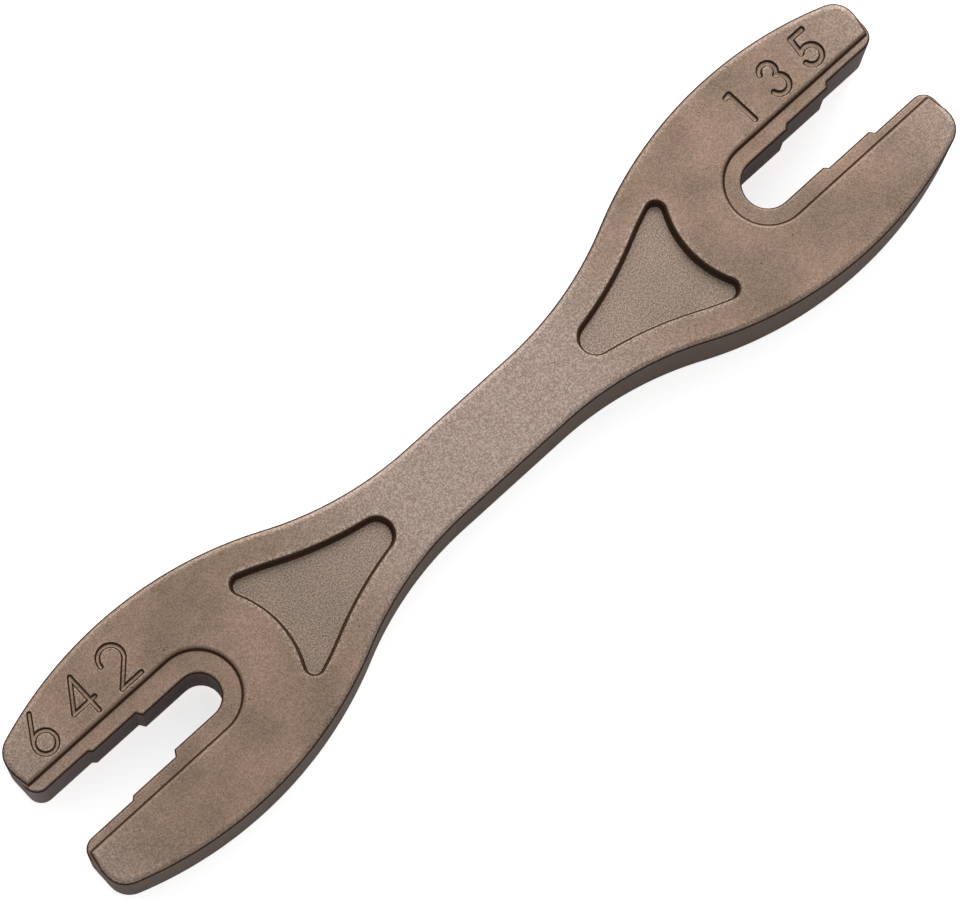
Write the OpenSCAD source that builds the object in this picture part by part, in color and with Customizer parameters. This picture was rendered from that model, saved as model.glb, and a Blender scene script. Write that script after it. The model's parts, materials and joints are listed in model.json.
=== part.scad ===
// Double-ended spoke wrench: one flat steel body with a stepped slot in each head.
// X runs along the wrench, Y across it and Z up. The origin is under its middle.

/* [Body] */
// Length from jaw tip to jaw tip
overall_length = 112.8; // [104:0.4:124]
// Thickness of the body between its two faces
thickness = 9.5; // [6:0.5:14]
// Width of the straight part of the handle
handle_width = 8.7; // [7.6:0.1:11]
// Radius of the hollow curve between the handle and a head
neck_radius = 37; // [30:1:46]
// Width of a head where it is widest
head_width = 23.8; // [22:0.2:28]
// Radius of the curved side of a head
head_radius = 42; // [34:1:54]
// Distance from the middle of the wrench to the widest place of a head
head_distance = 40.5; // [37:0.5:44]
// Radius of the outer corner of a jaw tip
tip_outer_radius = 2.5; // [1:0.1:3.4]
// Radius of the corner of a jaw tip beside the slot
tip_slot_radius = 1.5; // [0.5:0.1:2]

/* [Slots] */
// Width of gap 1, at the root of the odd head
gap_1 = 5.2; // [4.2:0.1:5.8]
// Width of gap 2, at the root of the even head
gap_2 = 4.5; // [4.2:0.1:5.5]
// Width of gap 3, in the middle of the odd head
gap_3 = 6.0; // [5.4:0.1:6.8]
// Width of gap 4, in the middle of the even head
gap_4 = 5.7; // [4.8:0.1:6.2]
// Width of gap 5, at the mouth of the odd head
gap_5 = 7.0; // [6.2:0.1:7.8]
// Width of gap 6, at the mouth of the even head
gap_6 = 6.4; // [5.8:0.1:7.8]
// Length of the flats at the mouth of a slot, up to the jaw tip
mouth_flat = 6.8; // [5:0.1:8]
// Length of the flats in the middle of a slot
middle_flat = 5.5; // [4:0.1:6.5]
// Length of the flats at the root of a slot
root_flat = 5.2; // [4:0.1:6]
// Length of the slope from one pair of flats to the next
step_length = 0.4; // [0.2:0.1:1]

/* [Relief] */
// Width of the sunk band around a slot
band_width = 8.7; // [8.1:0.1:10]
// Depth of the sunk band
band_depth = 0.5; // [0.2:0.1:1.5]
// Sideways shift of the even head's band towards its digits
even_band_shift = 0.2; // [-0.4:0.1:0.4]
// Depth of the three-cornered pocket beside a head
pocket_depth = 1.5; // [0.5:0.1:2.5]
// Distance from the middle of the wrench to the pocket's narrow end
pocket_start = 12.95; // [10:0.05:16]
// Width of the rim between the pocket and the edge of the body
pocket_rim = 3.35; // [3:0.05:3.8]
// Width of the web between the pocket and the sunk band
pocket_web = 6.3; // [5:0.1:8]
// Radius of the pocket's two corners beside the head
pocket_corner_radius = 1; // [0.5:0.1:1.4]

/* [Size digits] */
// Depth of the digits
digit_depth = 0.3; // [0.1:0.1:1]
// Height of the digits 1, 3 and 5
odd_digit_height = 4.1; // [3:0.1:4.6]
// Height of the digits 2, 4 and 6
even_digit_height = 4.7; // [3:0.1:4.8]
// Width of the strokes of the digits 1, 3 and 5
odd_digit_stroke = 0.5; // [0.3:0.05:0.6]
// Width of the strokes of the digits 2, 4 and 6
even_digit_stroke = 0.4; // [0.3:0.05:0.6]
// Distance from the root of a slot to the middle of digit 1
odd_digit_start = 3.2; // [2:0.1:4]
// Distance from the root of a slot to the middle of digit 2
even_digit_start = 3.8; // [2:0.1:4.4]
// Distance between the digits 1, 3 and 5
odd_digit_pitch = 4.5; // [3.5:0.05:5]
// Distance between the digits 2, 4 and 6
even_digit_pitch = 5.05; // [4:0.05:5.2]
// Distance from the sunk band to the foot of the digits
digit_gap = 0.9; // [0.5:0.1:1.2]

/* [Hidden] */
$fn = 144;

steel_colour = "#8f7c70";
// How far a cut runs past the face that it opens in
overrun = 1;
// How far two rounds that touch reach into each other, so that they cross at a clean point
touch_overlap = 0.001;

tip_x = overall_length / 2;
handle_half = handle_width / 2;
head_half = head_width / 2;

// The neck's arc runs on from the handle's straight side and touches the head's arc.
head_centre = [head_distance, head_half - head_radius];
neck_rise = handle_half + neck_radius - head_centre.y;
arc_reach = neck_radius + head_radius - touch_overlap;
neck_centre = head_centre + [-height_of_chord(arc_reach, neck_rise), neck_rise];

// The places along a slot, from its mouth to its root
mouth_x = tip_x - mouth_flat;
middle_x = mouth_x - step_length - middle_flat;
root_x = middle_x - step_length - root_flat;

band_half = band_width / 2;

// The outer corner of a jaw tip touches the head's arc and the end face.
tip_corner = [
    tip_x - tip_outer_radius,
    head_centre.y + height_of_chord(head_radius - tip_outer_radius, tip_x - tip_outer_radius - head_distance)
];

// The pocket's head side goes round the end of the slot.
web_radius = band_half + pocket_web;

// The round at the pocket's narrow end touches its start and both long sides, which keep to the rim.
start_run = pocket_start - neck_centre.x;
side_radius = neck_radius + pocket_rim;
start_radius = (start_run * start_run + neck_centre.y * neck_centre.y - side_radius * side_radius)
    / (2 * (side_radius - start_run));
start_centre = [pocket_start + start_radius, 0];

pocket_corner = crossing(
    head_centre,
    head_radius - pocket_rim - pocket_corner_radius,
    [root_x, 0],
    web_radius + pocket_corner_radius
);

// The strokes of each digit, as shares of its height: its foot is at 0 and its middle at x = 0.
digit_line_shares = [
    [],
    [[[-0.14, 0.98], [0, 1]], [[0, 1], [0.06, 0]]],
    [[[0.25, 0.53], [-0.28, 0]], [[-0.28, 0], [0.3, 0]]],
    [],
    [[[0.2, 1], [-0.29, 0.3]], [[-0.29, 0.3], [0.33, 0.3]], [[0.2, 1], [0.2, 0]]],
    [[[0.29, 1], [-0.14, 1]], [[-0.14, 1], [-0.2, 0.5]]],
    [[[0.15, 1], [-0.23, 0.42]]]
];
// The centre and the radius of each arc in a digit, as shares of its height
digit_arc_shares = [
    [],
    [],
    [[0, 0.7, 0.3]],
    [[0, 0.76, 0.24], [0, 0.28, 0.28]],
    [],
    [[0, 0.29, 0.29]],
    [[0, 0.27, 0.27]]
];
// The angles where each of those arcs starts and ends
digit_arc_angles = [
    [],
    [],
    [[-35, 180]],
    [[-60, 165], [-165, 70]],
    [],
    [[-165, 133]],
    [[0, 360]]
];

// How far a circle's edge lies from its centre, at a distance along the chord
function height_of_chord(radius, along) = sqrt(radius * radius - along * along);

// A step of a given length in a direction
function polar(length, angle) = length * [cos(angle), sin(angle)];

// The direction from one point to another
function heading(from, to) = atan2(to.y - from.y, to.x - from.x);

// Where two circles cross, on the left of the way from the second centre to the first
function crossing(centre_a, radius_a, centre_b, radius_b) =
    let (
        apart = norm(centre_a - centre_b),
        along = (radius_b * radius_b - radius_a * radius_a + apart * apart) / (2 * apart),
        aside = height_of_chord(radius_b, along),
        way = (centre_a - centre_b) / apart
    )
    centre_b + along * way + aside * [way.y, -way.x];

// What comes off a sharp corner to round it; from and to are the directions square to its two sides.
module corner_waste(centre, radius, from, to) {
    reach = 1.5 * radius;
    point = reach / cos((to - from) / 2);
    translate(centre)
        difference() {
            polygon([[0, 0], polar(reach, from), polar(point, (from + to) / 2), polar(reach, to)]);
            circle(radius + touch_overlap);
        }
}

// The flare from the neck out over a head, between two places along it, drawn in by an inset
module flare(start, end, inset) {
    hollow_radius = neck_radius + inset;
    bulge_radius = head_radius - inset;
    bend = neck_centre + (head_centre - neck_centre) * hollow_radius / arc_reach;
    difference() {
        translate([start, -bend.y])
            square([bend.x - start, 2 * bend.y]);
        for (side = [-1, 1])
            translate([neck_centre.x, side * neck_centre.y])
                circle(hollow_radius);
    }
    intersection() {
        translate([start, -head_half])
            square([end - start, head_width]);
        intersection_for(side = [-1, 1])
            translate([head_centre.x, side * head_centre.y])
                circle(bulge_radius);
    }
}

// A slot, seen from above, with its gaps listed from root to mouth
module slot(gaps) {
    edge = [
        [root_x, gaps[0] / 2],
        [middle_x - step_length, gaps[0] / 2],
        [middle_x, gaps[1] / 2],
        [mouth_x - step_length, gaps[1] / 2],
        [mouth_x, gaps[2] / 2],
        [tip_x + overrun, gaps[2] / 2]
    ];
    last = len(edge) - 1;
    polygon(concat(edge, [for (i = [last:-1:0]) [edge[i].x, -edge[i].y]]));
    translate([root_x, 0])
        circle(d = gaps[0]);
}

// What comes off the four corners of a head's two jaw tips
module tip_rounding(mouth_gap) {
    for (side = [0, 1])
        mirror([0, side]) {
            corner_waste(tip_corner, tip_outer_radius, 0, heading(head_centre, tip_corner));
            corner_waste(
                [tip_x - tip_slot_radius, mouth_gap / 2 + tip_slot_radius],
                tip_slot_radius,
                -90,
                0
            );
        }
}

// One half of the body, seen from above, open at its slot
module half_plan(gaps) {
    difference() {
        union() {
            translate([0, -handle_half])
                square([neck_centre.x, handle_width]);
            flare(neck_centre.x, tip_x, 0);
        }
        slot(gaps);
        tip_rounding(gaps[2]);
    }
}

// The sunk band around a slot, seen from above and moved sideways by a shift
module band(shift) {
    translate([root_x, shift])
        circle(band_half);
    translate([root_x, shift - band_half])
        square([tip_x + overrun - root_x, band_width]);
}

// The three-cornered pocket, seen from above
module pocket() {
    difference() {
        flare(pocket_start, root_x, pocket_rim);
        translate([root_x, 0])
            circle(web_radius);
        for (side = [0, 1])
            mirror([0, side])
                corner_waste(
                    pocket_corner,
                    pocket_corner_radius,
                    heading(pocket_corner, [root_x, 0]),
                    heading(head_centre, pocket_corner)
                );
        corner_waste(
            start_centre,
            start_radius,
            heading(start_centre, neck_centre),
            360 - heading(start_centre, neck_centre)
        );
    }
}

// The round end of a stroke
module stroke_end(point, width) {
    translate(point)
        circle(width / 2 + touch_overlap);
}

// A straight stroke with round ends
module line_stroke(from, to, width) {
    translate(from)
        rotate(heading(from, to))
            translate([0, -width / 2])
                square([norm(to - from), width]);
    stroke_end(from, width);
    stroke_end(to, width);
}

// A stroke that goes right round
module ring_stroke(radius, width) {
    difference() {
        circle(radius + width / 2);
        circle(radius - width / 2);
    }
}

// A curved stroke with round ends
module arc_stroke(radius, from, to, width) {
    reach = 2 * radius;
    steps = 4;
    fan = [for (i = [0:steps]) polar(reach, from + (to - from) * i / steps)];
    intersection() {
        ring_stroke(radius, width);
        polygon(concat([[0, 0]], fan));
    }
    stroke_end(polar(radius, from), width);
    stroke_end(polar(radius, to), width);
}

// One size digit, seen from above, with its foot on the X axis
module digit(number, height, stroke) {
    size = height - stroke;
    translate([0, stroke / 2]) {
        for (line = digit_line_shares[number])
            line_stroke(size * line[0], size * line[1], stroke);
        for (i = [0:1:len(digit_arc_shares[number]) - 1]) {
            arc = digit_arc_shares[number][i];
            angles = digit_arc_angles[number][i];
            translate([size * arc[0], size * arc[1]])
                if (angles[1] - angles[0] < 360)
                    arc_stroke(size * arc[2], angles[0], angles[1], stroke);
                else
                    ring_stroke(size * arc[2], stroke);
        }
    }
}

// A row of three digits along a head, which reads upright from the -Y side
module digit_row(numbers, height, stroke, start, pitch, side) {
    for (i = [0:2])
        translate([side * (root_x + start + i * pitch), band_half + digit_gap])
            digit(numbers[i], height, stroke);
}

// What a shape takes off both faces of the body, down to a depth
module sink_both_faces(depth) {
    for (z = [-overrun, thickness - depth])
        translate([0, 0, z])
            linear_extrude(depth + overrun)
                children();
}

// The whole body: two halves with unlike slots, sunk alike on both faces
module wrench_body() {
    color(steel_colour)
        difference() {
            linear_extrude(thickness) {
                half_plan([gap_1, gap_3, gap_5]);
                mirror([1, 0])
                    half_plan([gap_2, gap_4, gap_6]);
            }
            for (side = [0, 1])
                mirror([side, 0, 0]) {
                    sink_both_faces(band_depth)
                        band(side * even_band_shift);
                    sink_both_faces(pocket_depth)
                        pocket();
                }
            translate([0, 0, thickness - digit_depth])
                linear_extrude(digit_depth + overrun) {
                    digit_row(
                        [1, 3, 5],
                        odd_digit_height,
                        odd_digit_stroke,
                        odd_digit_start,
                        odd_digit_pitch,
                        1
                    );
                    digit_row(
                        [2, 4, 6],
                        even_digit_height,
                        even_digit_stroke,
                        even_digit_start,
                        even_digit_pitch,
                        -1
                    );
                }
        }
}

wrench_body();
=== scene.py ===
"""A double-ended spoke wrench, cast in one piece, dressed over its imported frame."""

import json
import logging
import math
from dataclasses import dataclass, field
from enum import Enum

import bmesh
import bpy
from mathutils import Matrix, Vector

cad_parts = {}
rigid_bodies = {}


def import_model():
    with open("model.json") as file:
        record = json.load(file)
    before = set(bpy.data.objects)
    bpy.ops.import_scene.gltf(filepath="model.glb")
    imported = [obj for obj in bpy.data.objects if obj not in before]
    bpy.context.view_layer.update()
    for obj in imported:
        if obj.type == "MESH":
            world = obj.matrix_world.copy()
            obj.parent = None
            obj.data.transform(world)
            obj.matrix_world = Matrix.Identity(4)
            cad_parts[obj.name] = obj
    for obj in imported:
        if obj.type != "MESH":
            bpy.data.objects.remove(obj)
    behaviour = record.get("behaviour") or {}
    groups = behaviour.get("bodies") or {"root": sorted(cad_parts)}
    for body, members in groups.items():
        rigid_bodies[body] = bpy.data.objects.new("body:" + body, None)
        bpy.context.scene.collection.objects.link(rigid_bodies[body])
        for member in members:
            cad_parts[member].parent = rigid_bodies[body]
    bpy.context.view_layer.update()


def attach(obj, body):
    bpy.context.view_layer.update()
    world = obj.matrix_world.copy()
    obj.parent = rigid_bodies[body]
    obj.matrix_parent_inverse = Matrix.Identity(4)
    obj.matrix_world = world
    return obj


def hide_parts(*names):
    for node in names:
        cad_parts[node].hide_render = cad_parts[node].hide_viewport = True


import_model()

log = logging.getLogger("spoke_wrench")

MM = 0.001
# How close two points lie to count as one, in mm: where they are drawn, and on the cut body
SAME_DRAWN = 1e-4
SAME_CUT = 1e-3
# The most that one straight part of an arc turns, in degrees, and how long it is at most, in mm
ARC_TURN = 10
ARC_PART = 0.6
# How level a face is to be one of a prism's two ends (1 is level)
END_LEVEL = 0.9

# A point in plan, how far a wall goes in or over and how far on or down, and from where to where
Point = tuple[float, float]
Step = tuple[float, float]
Span = tuple[float, float]


def linear(code: str) -> tuple[float, float, float, float]:
    """Turns an sRGB hex colour, "#rrggbb", into the linear red, green, blue and alpha of a shader."""
    shares = [int(code[place : place + 2], 16) / 255 for place in (1, 3, 5)]
    return (
        *[share / 12.92 if share <= 0.04045 else ((share + 0.055) / 1.055) ** 2.4 for share in shares],
        1.0,
    )


def heading(start: Point, end: Point) -> float:
    """The direction from one point in plan to another, in degrees."""
    return math.degrees(math.atan2(end[1] - start[1], end[0] - start[0]))


def quarter_round(over: float, down: float, parts: int) -> list[Step]:
    """Steps that turn an upright wall into a level face round a quarter of a circle or of an ellipse.

    Args:
        over: How far the round reaches over the face, in mm. Less than 0 where the wall flares out.
        down: How far it reaches down the wall.
        parts: How many flats stand for the round.

    Returns:
        For each flat, how far it goes in and how far it goes on.
    """
    turns = [math.pi / 2 * part / parts for part in range(parts + 1)]
    return [
        (over * (math.cos(start) - math.cos(end)), down * (math.sin(end) - math.sin(start)))
        for start, end in zip(turns, turns[1:])
    ]


class Head(Enum):
    """The two ends of the wrench, by the side of the middle that they lie on."""

    ODD = 1
    EVEN = -1


class Pen:
    """Draws a closed outline in plan by spinning and drawing out one point."""

    def __init__(self, start: Point) -> None:
        """Puts the pen down at a point, in mm."""
        self.mesh = bmesh.new()
        self.point = bmesh.ops.create_vert(self.mesh, co=(*start, 0))["vert"][0]

    def line(self, end: Point) -> "Pen":
        """Draws a straight line.

        Args:
            end: Where the line ends, in mm.

        Returns:
            The pen itself, so that calls can follow each other.
        """
        self.point = bmesh.ops.extrude_vert_indiv(self.mesh, verts=[self.point])["verts"][0]
        self.point.co = (*end, 0)
        return self

    def arc(self, centre: Point, degrees: float) -> "Pen":
        """Draws an arc from where the pen stands.

        Args:
            centre: The arc's centre, in mm.
            degrees: How far it turns, counter-clockwise.

        Returns:
            The pen itself.
        """
        radius, turn = math.dist(self.point.co.xy, centre), abs(degrees)
        made = bmesh.ops.spin(
            self.mesh,
            geom=[self.point],
            cent=(*centre, 0),
            axis=(0, 0, 1),
            angle=math.radians(degrees),
            steps=max(math.ceil(turn / ARC_TURN), math.ceil(math.radians(turn) * radius / ARC_PART)),
        )
        self.point = made["geom_last"][0]
        return self

    def shut(self, *mirrors: str) -> "Prism":
        """Mirrors what is drawn, fills it and hands it on.

        Args:
            mirrors: The axes that the drawing is mirrored along, in order.

        Returns:
            The filled outline, ready to be raised.
        """
        for axis in mirrors:
            bmesh.ops.mirror(
                self.mesh,
                geom=self.mesh.verts[:] + self.mesh.edges[:],
                matrix=Matrix(),
                merge_dist=SAME_DRAWN,
                axis=axis,
            )
        bmesh.ops.remove_doubles(self.mesh, verts=self.mesh.verts, dist=SAME_DRAWN)
        bmesh.ops.contextual_create(self.mesh, geom=self.mesh.edges)
        return Prism(self.mesh)


class Prism:
    """A filled outline that is raised into a closed solid with shaped ends."""

    def __init__(self, mesh: bmesh.types.BMesh) -> None:
        """Takes over a mesh that holds one flat face."""
        self.mesh = mesh

    def raised(self, low: float, high: float, below: list[Step], above: list[Step]) -> "Prism":
        """Raises the outline between two heights and shapes both ends.

        Args:
            low: Where the upright wall starts, in mm.
            high: Where it ends.
            below: Steps from the wall's foot downwards.
            above: Steps from the wall's top upwards.

        Returns:
            The prism itself.
        """
        bmesh.ops.translate(self.mesh, vec=(0, 0, low), verts=self.mesh.verts)
        grown = bmesh.ops.extrude_face_region(self.mesh, geom=self.mesh.faces[:])["geom"]
        tops = [part for part in grown if isinstance(part, bmesh.types.BMVert)]
        bmesh.ops.translate(self.mesh, vec=(0, 0, high - low), verts=tops)
        bmesh.ops.recalc_face_normals(self.mesh, faces=self.mesh.faces)
        for end in [face for face in self.mesh.faces if abs(face.normal.z) > END_LEVEL]:
            for inset, depth in above if end.normal.z > 0 else below:
                bmesh.ops.inset_individual(
                    self.mesh, faces=[end], thickness=inset, depth=depth, use_even_offset=True
                )
        return self

    def placed(self, matrix: Matrix) -> "Prism":
        """Moves, turns or mirrors the prism.

        Args:
            matrix: What is done to it.

        Returns:
            The prism itself, with its faces outwards.
        """
        bmesh.ops.transform(self.mesh, matrix=matrix, verts=self.mesh.verts)
        bmesh.ops.recalc_face_normals(self.mesh, faces=self.mesh.faces)
        return self

    def as_object(self, name: str, finish: bpy.types.Material) -> bpy.types.Object:
        """Makes a Blender object of the prism.

        Args:
            name: The object's name.
            finish: The material of all its faces.

        Returns:
            The new object, still in mm.
        """
        data = bpy.data.meshes.new(name)
        self.mesh.to_mesh(data)
        self.mesh.free()
        data.materials.append(finish)
        made = bpy.data.objects.new(name, data)
        bpy.context.scene.collection.objects.link(made)
        return made


@dataclass(frozen=True)
class Digit:
    """One size digit as strokes, in shares of its height with its foot at 0 and its middle at x = 0."""

    # Each line's two ends
    lines: tuple[tuple[Point, Point], ...] = ()
    # Each arc's centre, its radius, and where it starts and ends, in degrees
    arcs: tuple[tuple[Point, float, float, float], ...] = ()


DIGITS = {
    1: Digit(lines=(((-0.14, 0.98), (0, 1)), ((0, 1), (0.06, 0)))),
    2: Digit(
        lines=(((0.25, 0.53), (-0.28, 0)), ((-0.28, 0), (0.3, 0))),
        arcs=(((0, 0.7), 0.3, -35, 180),),
    ),
    3: Digit(arcs=(((0, 0.76), 0.24, -60, 165), ((0, 0.28), 0.28, -165, 70))),
    4: Digit(lines=(((0.2, 1), (-0.29, 0.3)), ((-0.29, 0.3), (0.33, 0.3)), ((0.2, 1), (0.2, 0)))),
    5: Digit(
        lines=(((0.29, 1), (-0.14, 1)), ((-0.14, 1), (-0.2, 0.5))),
        arcs=(((0, 0.29), 0.29, -165, 133),),
    ),
    6: Digit(lines=(((0.15, 1), (-0.23, 0.42)),), arcs=(((0, 0.27), 0.27, 0, 360),)),
}


@dataclass(frozen=True)
class DigitRow:
    """The sizes of one head's row of digits, in mm."""

    # The digits from the slot's root outwards, how high they are and how wide their strokes are
    numbers: tuple[int, int, int]
    height: float
    stroke: float
    # How far the first one's middle lies from the root, and how far it is from one to the next
    start: float
    pitch: float


@dataclass
class Wrench:
    """The one cast piece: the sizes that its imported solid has, then those of its rounds, in mm."""

    length: float = 112.8
    thickness: float = 9.5
    handle_width: float = 8.7
    neck_radius: float = 37
    head_width: float = 23.8
    head_radius: float = 42
    head_distance: float = 40.5
    tip_outer_radius: float = 2.5
    tip_slot_radius: float = 1.5
    gaps: dict[Head, tuple[float, float, float]] = field(
        default_factory=lambda: {Head.ODD: (5.2, 6.0, 7.0), Head.EVEN: (4.5, 5.7, 6.4)}
    )
    mouth_flat: float = 6.8
    middle_flat: float = 5.5
    root_flat: float = 5.2
    step_length: float = 0.4
    band_width: float = 8.7
    band_depth: float = 0.5
    band_shift: dict[Head, float] = field(default_factory=lambda: {Head.ODD: 0, Head.EVEN: 0.2})
    pocket_depth: float = 1.5
    pocket_start: float = 12.95
    pocket_rim: float = 3.35
    pocket_web: float = 6.3
    pocket_corner_radius: float = 1
    digit_depth: float = 0.3
    digit_gap: float = 0.9
    rows: dict[Head, DigitRow] = field(
        default_factory=lambda: {
            Head.ODD: DigitRow((1, 3, 5), 4.1, 0.5, 3.2, 4.5),
            Head.EVEN: DigitRow((2, 4, 6), 4.7, 0.4, 3.8, 5.05),
        }
    )
    # How far the rounds of the outer edge and of the rims reach over the face and down the wall
    edge_round: Step = (0.62, 0.3)
    band_rim_round: Step = (0.5, 0.38)
    pocket_rim_round: Step = (0.32, 0.3)
    # The rounds that are quarters of a circle
    digit_rim_round: float = 0.14
    slot_edge_round: float = 0.3
    tip_edge_round: float = 0.4
    band_foot_round: float = 0.1
    pocket_foot_round: float = 0.34
    digit_foot_round: float = 0.14
    # How many flats stand for a round, and how many parts for a ring
    edge_flats: int = 6
    slot_edge_flats: int = 3
    tip_edge_flats: int = 4
    rim_flats: int = 5
    foot_flats: int = 4
    ring_parts: int = 48
    # How far the solids that are taken off reach past the body
    overrun: float = 1
    # How far the slot's outline follows a jaw's inner corner, in degrees
    tip_turn: float = 80
    # How far a flare goes on past the face that it opens in, so that the two cross cleanly
    lift: float = 0.002
    # How much wider to each side, and deeper, each stroke of a digit is than the one before it, so that
    # no two of them coincide
    stroke_step: float = 0.004
    # From what angle between two faces their edge is shaded as a sharp one, in degrees
    sharp_angle: float = 40

    def __post_init__(self) -> None:
        """Works out the points that the outlines share."""
        self.tip_x = self.length / 2
        self.mouth_x = self.tip_x - self.mouth_flat
        self.middle_x = self.mouth_x - self.step_length - self.middle_flat
        self.root_x = self.middle_x - self.step_length - self.root_flat
        self.head_centre = (self.head_distance, self.head_width / 2 - self.head_radius)
        rise = self.handle_width / 2 + self.neck_radius - self.head_centre[1]
        run = math.sqrt((self.neck_radius + self.head_radius) ** 2 - rise**2)
        self.neck_centre = (self.head_distance - run, self.head_centre[1] + rise)
        corner_x = self.tip_x - self.tip_outer_radius
        reach = self.head_radius - self.tip_outer_radius
        up = math.sqrt(reach**2 - (corner_x - self.head_distance) ** 2)
        self.tip_corner = (corner_x, self.head_centre[1] + up)

    def blank(self) -> Prism:
        """Makes the whole body with rounded edges and no slot.

        Returns:
            The blank.
        """
        neck, head, corner = self.neck_centre, self.head_centre, self.tip_corner
        pen = Pen((0, self.handle_width / 2)).line((neck[0], self.handle_width / 2))
        pen.arc(neck, heading(neck, head) + 90)
        pen.arc(head, heading(head, corner) - heading(head, neck))
        pen.arc(corner, -heading(head, corner)).line((self.tip_x, 0))
        over, down = self.edge_round
        shoulder = quarter_round(over, down, self.edge_flats)
        return pen.shut("Y", "X").raised(down, self.thickness - down, shoulder, shoulder)

    def slot(self, head: Head) -> Prism:
        """Makes what the stepped slot takes off, with its rims flared at the bands and at the tips.

        Args:
            head: The end of the wrench that it is for.

        Returns:
            The solid to take off.
        """
        root, middle, mouth = [gap / 2 for gap in self.gaps[head]]
        tip = (self.tip_x - self.tip_slot_radius, mouth + self.tip_slot_radius)
        pen = Pen((self.root_x - root, 0)).arc((self.root_x, 0), -90)
        for point in (
            (self.middle_x - self.step_length, root),
            (self.middle_x, middle),
            (self.mouth_x - self.step_length, middle),
            (self.mouth_x, mouth),
            (tip[0], mouth),
        ):
            pen.line(point)
        pen.arc(tip, self.tip_turn)
        # The outline leaves the jaw's end at a slant, so that the flares run out in it softly
        slant, end = math.tan(math.radians(90 - self.tip_turn)), self.tip_x + 2 * self.overrun
        pen.line((self.tip_x + self.overrun, pen.point.co.y + self.overrun / slant))
        pen.line((end, pen.point.co.y)).line((end, 0))
        floor = self.thickness - self.band_depth
        rims = [
            *quarter_round(-self.slot_edge_round, self.slot_edge_round, self.slot_edge_flats),
            (0, self.band_depth - self.tip_edge_round),
            *quarter_round(-self.tip_edge_round, self.tip_edge_round, self.tip_edge_flats),
            (0, self.overrun),
        ]
        top = floor - self.slot_edge_round + self.lift
        return pen.shut("Y").raised(self.thickness - top, top, rims, rims)

    def sunk(self, prism: Prism, depth: float, foot: float, rim: Step) -> Prism:
        """Raises an outline into what a recess takes off the upper face.

        Args:
            prism: The recess's outline.
            depth: How deep the recess goes.
            foot: Radius of the round at its floor.
            rim: How far the round at its rim reaches over the face and down the wall.

        Returns:
            The solid to take off.
        """
        over, down = rim
        flare = [*quarter_round(-over, down, self.rim_flats), (0, self.overrun)]
        low, high = self.thickness - depth + foot, self.thickness - down + self.lift
        return prism.raised(low, high, quarter_round(foot, foot, self.foot_flats), flare)

    def band(self, head: Head) -> Prism:
        """Makes what the sunk band round a slot takes off the upper face.

        Args:
            head: The end of the wrench that it is for.

        Returns:
            The solid to take off.
        """
        half, shift, end = self.band_width / 2, self.band_shift[head], self.tip_x + 2 * self.overrun
        pen = Pen((self.root_x, shift + half)).arc((self.root_x, shift), 180).line((end, shift - half))
        prism = pen.line((end, shift + half)).line((self.root_x, shift + half)).shut()
        return self.sunk(prism, self.band_depth, self.band_foot_round, self.band_rim_round)

    def pocket(self) -> Prism:
        """Makes what the three-cornered pocket takes off the upper face.

        Returns:
            The solid to take off.
        """
        neck, head, root = self.neck_centre, self.head_centre, (self.root_x, 0)
        run, side = self.pocket_start - neck[0], self.neck_radius + self.pocket_rim
        start_radius = (run**2 + neck[1] ** 2 - side**2) / (2 * (side - run))
        start = (self.pocket_start + start_radius, 0)
        reach = self.head_radius - self.pocket_rim - self.pocket_corner_radius
        near = self.band_width / 2 + self.pocket_web + self.pocket_corner_radius
        apart = math.dist(head, root)
        along = (near**2 - reach**2 + apart**2) / (2 * apart)
        aside = math.sqrt(near**2 - along**2)
        way = ((head[0] - root[0]) / apart, (head[1] - root[1]) / apart)
        corner = (root[0] + along * way[0] + aside * way[1], root[1] + along * way[1] - aside * way[0])
        pen = Pen((self.pocket_start, 0)).arc(start, heading(start, neck) - 180)
        pen.arc(neck, heading(neck, head) - heading(neck, start))
        pen.arc(head, heading(head, corner) - heading(head, neck))
        pen.arc(corner, heading(corner, root) - heading(head, corner))
        pen.arc(root, 180 - heading(root, corner))
        return self.sunk(pen.shut("Y"), self.pocket_depth, self.pocket_foot_round, self.pocket_rim_round)

    def stroke(self, pen: Pen, depth: float) -> Prism:
        """Raises the outline that a pen drew round a digit's stroke into the solid to take off."""
        rim = (self.digit_rim_round, self.digit_rim_round)
        return self.sunk(pen.shut(), depth, self.digit_foot_round, rim)

    def ring(self, radius: float, half: float, depth: float) -> Prism:
        """Spins a stroke's section into a whole ring, as a digit has it.

        Args:
            radius: Radius of the ring's middle line, in mm.
            half: Half the stroke's width at its wall.
            depth: How deep the stroke goes.

        Returns:
            The solid to take off, round the upright axis.
        """
        foot, rim = self.digit_foot_round, self.digit_rim_round
        low, high = self.thickness - depth, self.thickness + self.lift
        inside, outside, over = radius - half, radius + half, high + self.overrun
        pen = Pen((inside + foot, low)).line((outside - foot, low)).arc((outside - foot, low + foot), 90)
        pen.line((outside, high - rim)).arc((outside + rim, high - rim), -90).line((outside + rim, over))
        pen.line((inside - rim, over)).line((inside - rim, high)).arc((inside - rim, high - rim), -90)
        pen.line((inside, low + foot)).arc((inside + foot, low + foot), 90)
        bmesh.ops.remove_doubles(pen.mesh, verts=pen.mesh.verts, dist=SAME_DRAWN)
        bmesh.ops.rotate(pen.mesh, matrix=Matrix.Rotation(math.pi / 2, 3, "X"), verts=pen.mesh.verts)
        bmesh.ops.spin(
            pen.mesh,
            geom=pen.mesh.verts[:] + pen.mesh.edges[:],
            axis=(0, 0, 1),
            angle=math.tau,
            steps=self.ring_parts,
            use_merge=True,
        )
        return Prism(pen.mesh)

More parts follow.
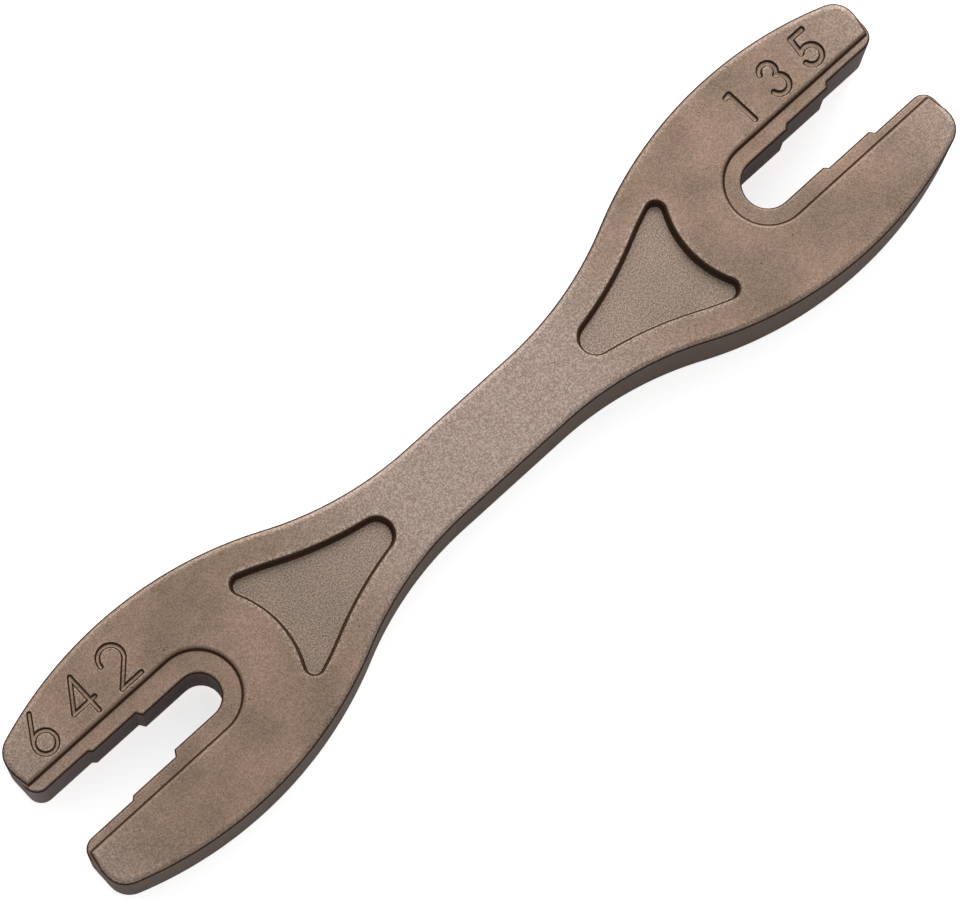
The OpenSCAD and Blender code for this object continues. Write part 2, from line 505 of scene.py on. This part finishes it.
    def stroke_size(self, row: DigitRow, order: int) -> tuple[float, float]:
        """Half the width and the depth of a digit's stroke, by its order in the digit."""
        return row.stroke / 2 + order * self.stroke_step, self.digit_depth + order * self.stroke_step

    def digits(self, head: Head) -> list[Prism]:
        """Makes what the strokes of one head's digits take off.

        Args:
            head: The end of the wrench that they are on.

        Returns:
            One solid for each stroke.
        """
        row, strokes = self.rows[head], []
        size = row.height - row.stroke
        for place, number in enumerate(row.numbers):
            before = len(strokes)
            middle = head.value * (self.root_x + row.start + place * row.pitch)
            foot = Matrix.Translation((middle, self.band_width / 2 + self.digit_gap + row.stroke / 2, 0))
            for start, end in DIGITS[number].lines:
                half, depth = self.stroke_size(row, len(strokes) - before)
                first, last = Vector(start) * size, Vector(end) * size
                side = (last - first).orthogonal().normalized() * half
                pen = Pen(tuple(first + side)).arc(tuple(first), 180)
                pen.line(tuple(last - side)).arc(tuple(last), 180).line(tuple(first + side))
                strokes.append(self.stroke(pen, depth).placed(foot))
            for centre, share, start, end in DIGITS[number].arcs:
                half, depth = self.stroke_size(row, len(strokes) - before)
                hub, radius = Vector(centre) * size, share * size
                if end - start == 360:
                    shifted = foot @ Matrix.Translation((*hub, 0))
                    strokes.append(self.ring(radius, half, depth).placed(shifted))
                    continue
                turns = [math.radians(start), math.radians(end)]
                ends = [hub + radius * Vector((math.cos(turn), math.sin(turn))) for turn in turns]
                out = hub + (ends[0] - hub) * (1 + half / radius)
                pen = Pen(tuple(out)).arc(tuple(hub), end - start).arc(tuple(ends[1]), 180)
                pen.arc(tuple(hub), start - end).arc(tuple(ends[0]), 180)
                strokes.append(self.stroke(pen, depth).placed(foot))
        return strokes

    def cutters(self) -> dict[str, list[Prism]]:
        """Makes all that comes off the blank.

        Returns:
            The solids to take off, by the kind of surface that they leave.
        """
        under = Matrix.Translation((0, 0, self.thickness)) @ Matrix.Scale(-1, 4, (0, 0, 1))
        made = {"flats": [], "band": [], "pocket": [], "digits": []}
        for head in Head:
            turned = Matrix.Scale(head.value, 4, (1, 0, 0))
            made["flats"].append(self.slot(head).placed(turned))
            for face in (Matrix(), under):
                made["band"].append(self.band(head).placed(face @ turned))
                made["pocket"].append(self.pocket().placed(face @ turned))
            made["digits"] += self.digits(head)
        return made

    def cut(self, finishes: dict[str, bpy.types.Material]) -> bpy.types.Mesh:
        """Cuts the blank to shape.

        Args:
            finishes: The material for the skin and for each kind of cut.

        Returns:
            The clean, closed mesh, in metres.
        """
        blank = self.blank().as_object("wrench_blank", finishes["skin"])
        tools = bpy.data.collections.new("cutters")
        for kind, prisms in self.cutters().items():
            for number, prism in enumerate(prisms):
                cutter = prism.as_object(f"{kind}_{number}", finishes[kind])
                bpy.context.scene.collection.objects.unlink(cutter)
                tools.objects.link(cutter)
        carve = blank.modifiers.new("cut", "BOOLEAN")
        carve.operation, carve.solver, carve.material_mode = "DIFFERENCE", "EXACT", "TRANSFER"
        carve.operand_type, carve.collection = "COLLECTION", tools
        graph = bpy.context.evaluated_depsgraph_get()
        body = bmesh.new()
        body.from_object(blank, graph)
        bmesh.ops.remove_doubles(body, verts=body.verts, dist=SAME_CUT)
        bmesh.ops.dissolve_degenerate(body, edges=body.edges, dist=SAME_CUT)
        bmesh.ops.scale(body, vec=(MM, MM, MM), verts=body.verts)
        slots = blank.evaluated_get(graph).data.materials[:]
        data = bpy.data.meshes.new("spoke_wrench")
        body.to_mesh(data)
        body.free()
        for finish in slots:
            data.materials.append(finish.original if finish.is_evaluated else finish)
        for old in [blank, *tools.objects]:
            bpy.data.objects.remove(old)
        bpy.data.collections.remove(tools)
        return data

    def build(self, finishes: dict[str, bpy.types.Material]) -> bpy.types.Object:
        """Makes the finished wrench, with the slots' rims finished like the bands that they end in.

        Args:
            finishes: The material for the skin and for each kind of cut.

        Returns:
            The wrench, in metres.
        """
        data = self.cut(finishes)
        middle, rim = self.thickness / 2, self.thickness / 2 - self.band_depth - self.slot_edge_round
        names = [finish.name for finish in data.materials]
        flats, band = names.index(finishes["flats"].name), names.index(finishes["band"].name)
        for face in data.polygons:
            if face.material_index == flats and abs(face.center.z / MM - middle) > rim:
                face.material_index = band
        data.shade_smooth()
        data.set_sharp_from_angle(angle=math.radians(self.sharp_angle))
        wrench = bpy.data.objects.new("spoke_wrench", data)
        bpy.context.scene.collection.objects.link(wrench)
        even = wrench.modifiers.new("even_shading", "WEIGHTED_NORMAL")
        even.keep_sharp = True
        return wrench


def add_node(
    tree: bpy.types.NodeTree, kind: str, inputs: dict | None = None, **settings: object
) -> bpy.types.Node:
    """Adds one node with its settings, values and links.

    Args:
        tree: The node tree.
        kind: The node's type.
        inputs: Input name or number to a value, or to the output socket that feeds it.
        settings: Attributes of the node itself.

    Returns:
        The new node.
    """
    node = tree.nodes.new(kind)
    for name, value in settings.items():
        setattr(node, name, value)
    for name, value in (inputs or {}).items():
        if isinstance(value, bpy.types.NodeSocket):
            tree.links.new(value, node.inputs[name])
        else:
            node.inputs[name].default_value = value
    return node


@dataclass(frozen=True)
class CastSteel:
    """Steel cast in a fine mould, hardened and tumbled: bare and dull on level faces, with scale on walls.

    The mould's sand leaves a fine grit. The tumbling bares the brownish steel of the faces in soft
    patches, wears the edges bright, and leaves the dark scale of the hardening where it doesn't reach.
    The bright edges are also a painted highlight, and the dark scale on walls and slopes is also painted
    shade and painted dark reflection.
    """

    name: str
    # The soft patches' tones, dark to light, and between which heights of their noise the tone changes
    tones: tuple[str, str, str] = ("#907c6c", "#9c8574", "#a88d7d")
    tone_span: Span = (0.34, 0.66)
    # A paler tone of the steel, and from where to where, in mm from the middle of the wrench, it fades
    # along the handle and comes back at the jaws' ends
    pale_zone: str = "#ad978b"
    reach: Span = (8, 27)
    ends: Span = (46, 64)
    # The steel where it is worn bright, which also paints a highlight along the edges; how far from an
    # edge that reaches, in mm, and how strong it is
    bright: str = "#d6c9be"
    wear_and_highlight_width: float = 1.0
    wear_and_highlight: float = 0.75
    # Between which shares of metal round a spot the wear and painted highlight go from whole to none,
    # how strongly the paler parts are brightened too, and between which heights of the grit it sets in
    edge_span: Span = (0.5, 0.95)
    pale_zone_wear: float = 0.35
    peak_span: Span = (0.42, 0.62)
    # How wide the pits are, in grains, between which heights of their noise they set in, and how dark
    # they are
    pit_grains: float = 2
    pit_span: Span = (0.72, 0.78)
    pit_depth: float = 0.7
    # The dark scale on the slopes of rims and corners, and on upright walls, which also paints the shade
    # on them and the dark reflections in them
    slope: str = "#33190b"
    wall: str = "#5f5047"
    # How level a surface is where a wall starts to turn into a slope, and where it is one (1 is level)
    wall_span: Span = (0.08, 0.3)
    # How level a surface has to be for the tumbling to start baring it and to bare it whole; steeper
    # surfaces keep the dark scale and its painted shade
    bared: Span = (0.76, 0.96)
    # Spacing of the soft patches and of the grit, in mm. The real grit may be finer: it is drawn as
    # coarse as it shows.
    patch: float = 5.5
    grit: float = 0.16
    # How many times the noise of the patches, the grit and the pits gets finer detail, and how many
    # samples look for edges
    patch_detail: int = 4
    grit_detail: int = 3
    pit_detail: int = 1
    edge_samples: int = 8
    # How strongly the grit changes the colour, between which of its heights, and how high it is, in mm
    grit_colour: float = 0.22
    grit_span: Span = (0.3, 0.7)
    grit_height: float = 0.012
    # The bare steel and the scale. The scale is porous, and shines less than a smooth coat.
    roughness: float = 0.42
    scale_roughness: float = 0.85
    shine: float = 0.5
    scale_shine: float = 0.2

    def make(self) -> bpy.types.Material:
        """Builds the material's nodes.

        Returns:
            The material.
        """
        # Sockets by number: a map range has its value at 0, from at 1 and 2 and to at 3 and 4, and a mix
        # has its share at 0, its colours at 6 and 7 and what it makes at 2
        soft = {"interpolation_type": "SMOOTHSTEP"}
        material = bpy.data.materials.new(self.name)
        material.use_nodes = True
        tree = material.node_tree
        shader = tree.nodes["Principled BSDF"]
        at = add_node(tree, "ShaderNodeTexCoord").outputs
        sand = {"Vector": at["Object"], "Scale": 1 / (self.grit * MM), "Detail": self.grit_detail}
        grit = add_node(tree, "ShaderNodeTexNoise", sand).outputs["Fac"]
        upward = add_node(tree, "ShaderNodeSeparateXYZ", {0: at["Normal"]}).outputs["Z"]
        level = add_node(tree, "ShaderNodeMath", {0: upward}, operation="ABSOLUTE").outputs[0]
        bared = {0: level, 1: self.bared[0], 2: self.bared[1]}
        bare = add_node(tree, "ShaderNodeMapRange", bared, **soft).outputs[0]
        steep = {0: level, 1: self.wall_span[0], 2: self.wall_span[1], 3: 1, 4: 0}
        upright = add_node(tree, "ShaderNodeMapRange", steep, **soft).outputs[0]
        # The dark scale on slopes and walls, which also paints the shade and the dark reflections there
        scale = {0: upright, 6: linear(self.slope), 7: linear(self.wall)}
        colours = {
            0: bare,
            6: add_node(tree, "ShaderNodeMix", scale, data_type="RGBA").outputs[2],
            7: self.face(tree, at["Object"], grit),
        }
        colour = add_node(tree, "ShaderNodeMix", colours, data_type="RGBA").outputs[2]
        low, high = self.grit_span
        speckle = {0: grit, 1: low, 2: high, 3: 1 - self.grit_colour, 4: 1 + self.grit_colour}
        speck = add_node(tree, "ShaderNodeMapRange", speckle, **soft).outputs[0]
        speckled = {0: colour, "Scale": speck}
        colour = add_node(tree, "ShaderNodeVectorMath", speckled, operation="SCALE").outputs[0]
        dullness = {0: bare, 3: self.scale_roughness, 4: self.roughness}
        rough = add_node(tree, "ShaderNodeMapRange", dullness).outputs[0]
        gloss = {0: bare, 3: self.scale_shine, 4: self.shine}
        shine = add_node(tree, "ShaderNodeMapRange", gloss).outputs[0]
        relief = {"Height": grit, "Distance": self.grit_height * MM, "Strength": 1.0}
        bump = add_node(tree, "ShaderNodeBump", relief)
        for name, value in {
            "Base Color": colour,
            "Metallic": bare,
            "Roughness": rough,
            "Specular IOR Level": shine,
            "Normal": bump.outputs["Normal"],
        }.items():
            tree.links.new(value, shader.inputs[name])
        return material

    def face(
        self, tree: bpy.types.NodeTree, place: bpy.types.NodeSocket, grit: bpy.types.NodeSocket
    ) -> bpy.types.NodeSocket:
        """Colours the bare faces: soft patches, a paler handle, bright worn edges that are also a painted
        highlight, and a few dark pits.

        Args:
            tree: The node tree.
            place: The coordinates on the piece.
            grit: The grit's height.

        Returns:
            The colour.
        """
        soft = {"interpolation_type": "SMOOTHSTEP"}
        cloud = {"Vector": place, "Scale": 1 / (self.patch * MM), "Detail": self.patch_detail}
        clouds = add_node(tree, "ShaderNodeTexNoise", cloud).outputs["Fac"]
        tone = add_node(tree, "ShaderNodeValToRGB", {"Fac": clouds})
        dark, medium, light = self.tones
        for stop, share, shade in zip((0, 1), self.tone_span, (dark, light)):
            tone.color_ramp.elements[stop].position = share
            tone.color_ramp.elements[stop].color = linear(shade)
        tone.color_ramp.elements.new(sum(self.tone_span) / 2).color = linear(medium)
        along = add_node(tree, "ShaderNodeSeparateXYZ", {0: place}).outputs["X"]
        away = add_node(tree, "ShaderNodeMath", {0: along}, operation="ABSOLUTE").outputs[0]
        handle = {0: away, 1: self.reach[0] * MM, 2: self.reach[1] * MM, 3: 1, 4: 0}
        jaws = {0: away, 1: self.ends[0] * MM, 2: self.ends[1] * MM}
        fades = [add_node(tree, "ShaderNodeMapRange", fade, **soft).outputs[0] for fade in (handle, jaws)]
        # A paler tone along the handle and at the jaws' ends
        pale_zone = add_node(tree, "ShaderNodeMath", dict(enumerate(fades)), operation="MAXIMUM").outputs[0]
        paler = {0: pale_zone, 6: tone.outputs["Color"], 7: linear(self.pale_zone)}
        colour = add_node(tree, "ShaderNodeMix", paler, data_type="RGBA").outputs[2]
        # Brightens the edges, and more weakly the paler parts: worn steel, and also a painted highlight
        # along the edges
        convex, looks = {"Distance": self.wear_and_highlight_width * MM}, {"inside": True, "samples": self.edge_samples}
        inner = add_node(tree, "ShaderNodeAmbientOcclusion", convex, **looks).outputs["AO"]
        thin = {0: inner, 1: self.edge_span[0], 2: self.edge_span[1], 3: 1, 4: 0}
        edge = add_node(tree, "ShaderNodeMapRange", thin, **soft).outputs[0]
        zone_and_edge = {0: pale_zone, 1: self.pale_zone_wear, 2: edge}
        rubbed_and_highlit = add_node(tree, "ShaderNodeMath", zone_and_edge, operation="MULTIPLY_ADD").outputs[0]
        raised = {0: grit, 1: self.peak_span[0], 2: self.peak_span[1], 4: self.wear_and_highlight}
        peaks = add_node(tree, "ShaderNodeMapRange", raised, **soft).outputs[0]
        touched = {0: rubbed_and_highlit, 1: peaks}
        worn_and_highlit = add_node(tree, "ShaderNodeMath", touched, operation="MULTIPLY", use_clamp=True).outputs[0]
        lighter = {0: worn_and_highlit, 6: colour, 7: linear(self.bright)}
        colour = add_node(tree, "ShaderNodeMix", lighter, data_type="RGBA").outputs[2]
        width = self.pit_grains * self.grit * MM
        hole = {"Vector": place, "Scale": 1 / width, "Detail": self.pit_detail}
        holes = add_node(tree, "ShaderNodeTexNoise", hole).outputs["Fac"]
        hollow = {0: holes, 1: self.pit_span[0], 2: self.pit_span[1], 4: self.pit_depth}
        pits = add_node(tree, "ShaderNodeMapRange", hollow, **soft).outputs[0]
        darker = {0: pits, 6: colour, 7: linear(self.slope)}
        return add_node(tree, "ShaderNodeMix", darker, data_type="RGBA").outputs[2]


@dataclass
class Studio:
    """The white floor, the room with one broad soft light in it, and the camera over the wrench."""

    # Where the light's middle lies: its direction in plan from +X, and its height, in degrees
    light_heading: float = 43
    light_height: float = 36
    # How far the light spreads from its middle, in degrees, and how bright the room is there and elsewhere
    light_spread: float = 48
    bright: float = 2.42
    dim: float = 0.42
    # The floor's side, in m
    floor_size: float = 4
    # How far the floor lies under the wrench, in mm, so that the two faces don't fight where they touch
    floor_drop: float = 0.01
    floor_colour: str = "#fafafa"
    # What the floor adds to its own light where it is seen, so that it reads white
    floor_glow: float = 0.7
    # The camera's place, lens and sensor in mm, its turn in degrees, and from where to where it sees, in m
    camera_place: tuple[float, float, float] = (-73.665, -57.734, 470.519)
    camera_turn: tuple[float, float, float] = (11.1575, -1.7625, -42.8097)
    lens: float = 179.714
    sensor: float = 36
    sight: Span = (0.01, 20)

    def floor(self) -> bpy.types.Object:
        """Lays the white floor that the wrench rests on.

        Returns:
            The floor.
        """
        mesh = bmesh.new()
        bmesh.ops.create_grid(mesh, x_segments=2, y_segments=2, size=self.floor_size / 2)
        data = bpy.data.meshes.new("floor")
        mesh.to_mesh(data)
        mesh.free()
        paper = bpy.data.materials.new("white_paper")
        paper.use_nodes = True
        tree = paper.node_tree
        shader = tree.nodes["Principled BSDF"]
        shader.inputs["Base Color"].default_value = linear(self.floor_colour)
        shader.inputs["Roughness"].default_value = 1.0
        shader.inputs["Specular IOR Level"].default_value = 0.0
        shader.inputs["Emission Color"].default_value = (1, 1, 1, 1)
        rays = add_node(tree, "ShaderNodeLightPath").outputs
        seen = rays["Is Camera Ray"]
        for other in (rays["Is Glossy Ray"], rays["Is Transmission Ray"]):
            seen = add_node(tree, "ShaderNodeMath", {0: seen, 1: other}, operation="MAXIMUM").outputs[0]
        glow = add_node(tree, "ShaderNodeMath", {0: seen, 1: self.floor_glow}, operation="MULTIPLY")
        tree.links.new(glow.outputs[0], shader.inputs["Emission Strength"])
        # From below the floor is clear, so that the wrench's underside can be looked at
        below = add_node(tree, "ShaderNodeNewGeometry").outputs["Backfacing"]
        clear = add_node(tree, "ShaderNodeBsdfTransparent").outputs[0]
        surface = add_node(tree, "ShaderNodeMixShader", {0: below, 1: shader.outputs[0], 2: clear})
        tree.links.new(surface.outputs[0], tree.nodes["Material Output"].inputs["Surface"])
        data.materials.append(paper)
        floor = bpy.data.objects.new("floor", data)
        floor.location.z = -self.floor_drop * MM
        bpy.context.scene.collection.objects.link(floor)
        return floor

    def light(self) -> None:
        """Lights the room: dim all round, and bright towards the middle of one broad soft light."""
        turn, height = math.radians(self.light_heading), math.radians(self.light_height)
        middle = (math.cos(turn) * math.cos(height), math.sin(turn) * math.cos(height), math.sin(height))
        world = bpy.data.worlds.new("studio")
        world.use_nodes = True
        tree = world.node_tree
        way = add_node(tree, "ShaderNodeTexCoord").outputs["Generated"]
        near = add_node(tree, "ShaderNodeVectorMath", {0: way, 1: middle}, operation="DOT_PRODUCT")
        values = {
            "Value": near.outputs["Value"],
            "From Min": math.cos(math.radians(self.light_spread)),
            "From Max": 1,
            "To Min": self.dim,
            "To Max": self.bright,
        }
        level = add_node(tree, "ShaderNodeMapRange", values).outputs["Result"]
        tree.links.new(level, tree.nodes["Background"].inputs["Strength"])
        tree.nodes["Background"].inputs["Color"].default_value = (1, 1, 1, 1)
        bpy.context.scene.world = world

    def camera(self) -> None:
        """Puts the camera where the photograph was taken from."""
        data = bpy.data.cameras.new("camera")
        data.sensor_width, data.lens = self.sensor, self.lens
        data.clip_start, data.clip_end = self.sight
        camera = bpy.data.objects.new("camera", data)
        camera.location = Vector(self.camera_place) * MM
        camera.rotation_euler = [math.radians(turn) for turn in self.camera_turn]
        bpy.context.scene.collection.objects.link(camera)
        bpy.context.scene.camera = camera


def main() -> None:
    """Builds the wrench and the studio in order, and reports each piece."""
    logging.basicConfig(level=logging.INFO, format="%(name)s: %(message)s")
    bpy.context.scene.view_settings.view_transform = "Standard"
    studio = Studio()
    studio.camera()
    studio.light()
    studio.floor()
    skin = CastSteel("tumbled_cast_steel").make()
    # The tumbling reaches less into the bands and the digits, and least into the pockets, so their edges
    # are brightened less. Their darker walls and the wider reach of their slope colour are painted shade
    # in the recesses.
    recess = CastSteel(
        "cast_steel_recess",
        wear_and_highlight=0.2,
        slope="#452c1b",
        wall="#40332b",
        bared=(0.78, 0.985),
    ).make()
    pocket = CastSteel(
        "cast_steel_pocket",
        tones=("#98887a", "#9f8d7e", "#a69284"),
        wear_and_highlight=0.1,
        slope="#4e3523",
        wall="#40332b",
        bared=(0.88, 0.99),
        grit_colour=0.42,
    ).make()
    # The slots' flats get a paler wall colour
    flats = CastSteel("cast_steel_flats", wall="#786c68").make()
    finishes = {"skin": skin, "flats": flats, "band": recess, "pocket": pocket, "digits": recess}
    wrench = Wrench().build(finishes)
    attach(wrench, "root")
    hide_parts("wrench_body")
    log.info("%s: %d faces", wrench.name, len(wrench.data.polygons))


if __name__ == "__main__":
    main()
